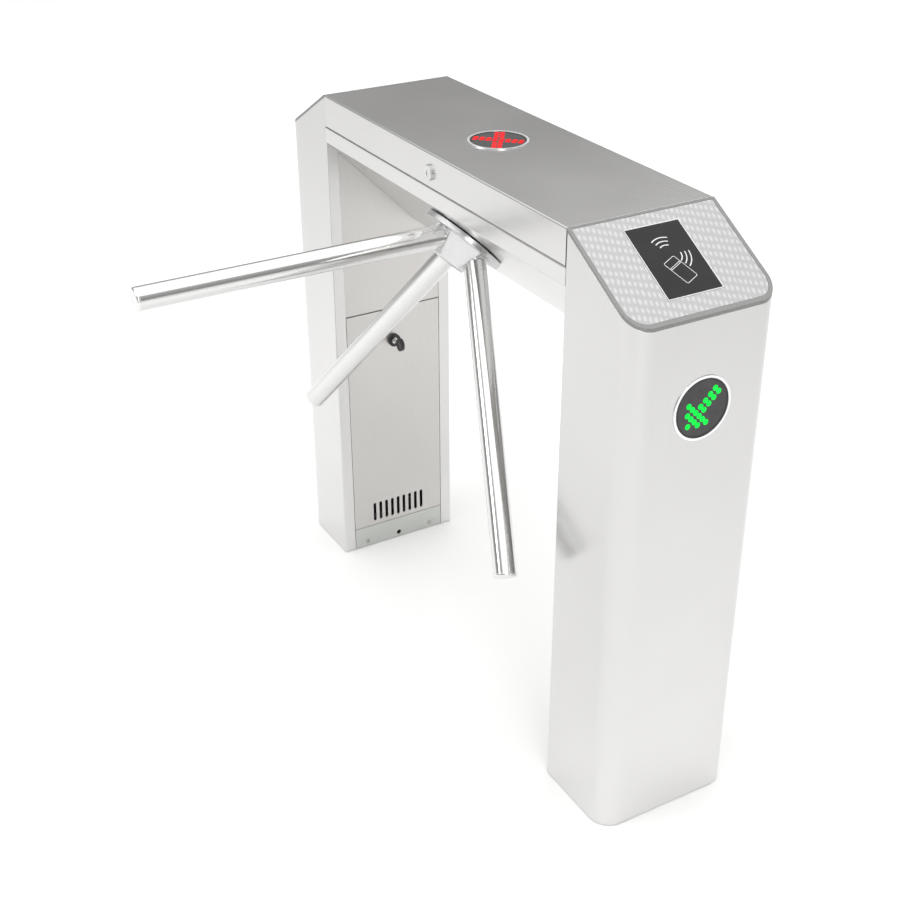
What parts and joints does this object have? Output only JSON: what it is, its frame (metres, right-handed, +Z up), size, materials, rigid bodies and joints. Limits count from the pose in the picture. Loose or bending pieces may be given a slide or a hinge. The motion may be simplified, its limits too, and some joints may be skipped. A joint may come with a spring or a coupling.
{
  "type": "visitor counter turnstile",
  "caption": "Bridge-shaped stainless visitor turnstile: legs joined by a box beam, a tilted rotating barrier with arms, reader slopes, indicator lights, hinged lid and doors.",
  "frame": {"origin": "on the floor under the middle of the cabinet, midway between the legs' anchor holes", "axes": "+X along the cabinet towards the entry leg, -Y the lane side the arms reach into, +Z up"},
  "size_m": [1.113, 0.7642, 0.9815],
  "materials": {
    "cabinet_steel": "satin ground stainless sheet",
    "kick_steel": "dull ground stainless sheet",
    "base_steel": "zinc-grey foot plates",
    "fixings": "plain stainless screws",
    "hinge_steel": "satin piano hinge",
    "trim_grey": "satin grey cast frame",
    "pattern_steel": "fine patterned stainless",
    "window_black": "gloss dark acrylic",
    "reader_case": "moulded black case",
    "bezel_silver": "bright silver ring",
    "lens_smoke": "smoked dark lens",
    "board_green": "printed circuit board",
    "lock_chrome": "bright chromed lock",
    "lock_black": "black lock collar",
    "key_black": "black moulded key bow",
    "arm_chrome": "polished tube",
    "head_silver": "smooth silver-grey casting",
    "shaft_steel": "turned steel",
    "pinion_plastic": "white acetal",
    "frame_paint": "dark powder coat",
    "housing_cast": "cast aluminium",
    "coil_black": "wrapped coils and damper can",
    "supply_cage": "perforated cage"
  },
  "bodies": {
    "cabinet": {"leg_shell_entry": "cabinet_steel", "leg_shell_exit": "cabinet_steel", "leg_base_entry": "base_steel", "leg_base_exit": "base_steel", "leg_panel_entry": "cabinet_steel", "leg_panel_exit": "cabinet_steel", "kick_plates": "kick_steel", "kick_plate_screws": "fixings", "beam_lane_panel": "cabinet_steel", "beam_back_panel": "cabinet_steel", "lid_hinge_back_leaf": "hinge_steel", "lid_hinge_pin": "hinge_steel", "reader_trim_entry": "trim_grey", "reader_trim_exit": "trim_grey", "reader_plate_entry": "pattern_steel", "reader_plate_exit": "pattern_steel", "reader_window_entry": "window_black", "reader_window_exit": "window_black", "card_readers": "reader_case", "end_light_bezel_entry": "bezel_silver", "end_light_bezel_exit": "bezel_silver", "end_light_lens_entry": "lens_smoke", "end_light_lens_exit": "lens_smoke", "end_light_boards": "board_green", "mechanism_frame": "frame_paint", "bearing_housing": "housing_cast", "shaft_bearings": "shaft_steel", "lock_solenoids": "coil_black", "rotary_damper": "coil_black", "control_board": "board_green", "power_supply": "supply_cage"},
    "door_entry": {"leg_door_entry": "cabinet_steel", "door_lock_barrel_entry": "lock_black"},
    "door_exit": {"leg_door_exit": "cabinet_steel", "door_lock_barrel_exit": "lock_black"},
    "door_cam_entry": {"door_lock_cam_entry": "lock_chrome"},
    "door_cam_exit": {"door_lock_cam_exit": "lock_chrome", "door_key": "key_black"},
    "lid": {"top_lid": "cabinet_steel", "lid_hinge_lid_leaf": "hinge_steel", "lid_lock_barrel": "lock_chrome", "top_light_bezel": "bezel_silver", "top_light_lens": "lens_smoke", "top_light_board": "board_green"},
    "lid_cam": {"lid_lock_cam": "lock_chrome"},
    "barrier": {"tripod_head": "head_silver", "arm_1": "arm_chrome", "arm_2": "arm_chrome", "arm_3": "arm_chrome", "arm_end_plugs": "arm_chrome", "arm_set_screws": "fixings", "main_shaft": "shaft_steel", "shaft_screws": "fixings", "damper_gear": "shaft_steel", "lock_wheel": "shaft_steel"},
    "pinion": {"damper_pinion": "pinion_plastic"},
    "pawl_entry": {"lock_pawl_entry": "shaft_steel"},
    "pawl_exit": {"lock_pawl_exit": "shaft_steel"},
    "plunger_entry": {"solenoid_plunger_entry": "shaft_steel"},
    "plunger_exit": {"solenoid_plunger_exit": "shaft_steel"}
  },
  "joints": [
    {"name": "barrier_spin", "type": "hinge", "parent": "cabinet", "child": "barrier", "pos_m": [0, -0.04986, 0.83708], "axis": [0, 0.7071, 0.7071], "continuous": true},
    {"name": "damper_spin", "type": "hinge", "parent": "cabinet", "child": "pinion", "pos_m": [0, 0.00105, 0.78617], "axis": [0, 0.7071, 0.7071], "continuous": true},
    {"name": "lid_hinge", "type": "hinge", "parent": "cabinet", "child": "lid", "pos_m": [0, 0.1313, 0.92325], "axis": [-1, 0, 0], "range_deg": [0, 95]},
    {"name": "lid_lock_turn", "type": "hinge", "parent": "lid", "child": "lid_cam", "pos_m": [0, -0.128, 0.9475], "axis": [0, 1, 0], "range_deg": [0, 90]},
    {"name": "door_entry_tilt", "type": "hinge", "parent": "cabinet", "child": "door_entry", "pos_m": [0.391, 0, 0.048], "axis": [0, -1, 0], "range_deg": [0, 14]},
    {"name": "door_exit_tilt", "type": "hinge", "parent": "cabinet", "child": "door_exit", "pos_m": [-0.391, 0, 0.048], "axis": [0, 1, 0], "range_deg": [0, 14]},
    {"name": "door_entry_lock_turn", "type": "hinge", "parent": "door_entry", "child": "door_cam_entry", "pos_m": [0.391, 0, 0.468], "axis": [1, 0, 0], "range_deg": [0, 90]},
    {"name": "door_exit_lock_turn", "type": "hinge", "parent": "door_exit", "child": "door_cam_exit", "pos_m": [-0.391, 0, 0.468], "axis": [-1, 0, 0], "range_deg": [0, 90]},
    {"name": "pawl_entry_swing", "type": "hinge", "parent": "cabinet", "child": "pawl_entry", "pos_m": [0.0605, -0.08168, 0.8689], "axis": [0, 0.7071, 0.7071], "range_deg": [0, 10], "stiffness_Nm_per_rad": 0.05, "springref_deg": -20.05},
    {"name": "pawl_exit_swing", "type": "hinge", "parent": "cabinet", "child": "pawl_exit", "pos_m": [-0.0605, -0.08168, 0.8689], "axis": [0, -0.7071, -0.7071], "range_deg": [0, 10], "stiffness_Nm_per_rad": 0.05, "springref_deg": -20.05},
    {"name": "plunger_entry_slide", "type": "slide", "parent": "cabinet", "child": "plunger_entry", "axis": [-1, 0, 0], "range_m": [0, 0.008]},
    {"name": "plunger_exit_slide", "type": "slide", "parent": "cabinet", "child": "plunger_exit", "axis": [1, 0, 0], "range_m": [0, 0.008]}
  ],
  "couplings": [
    {"joint": "damper_spin", "follows": "barrier_spin", "ratio": -3},
    {"joint": "plunger_entry_slide", "follows": "pawl_entry_swing", "m_per_rad": 0.0454},
    {"joint": "plunger_exit_slide", "follows": "pawl_exit_swing", "m_per_rad": 0.0454}
  ]
}
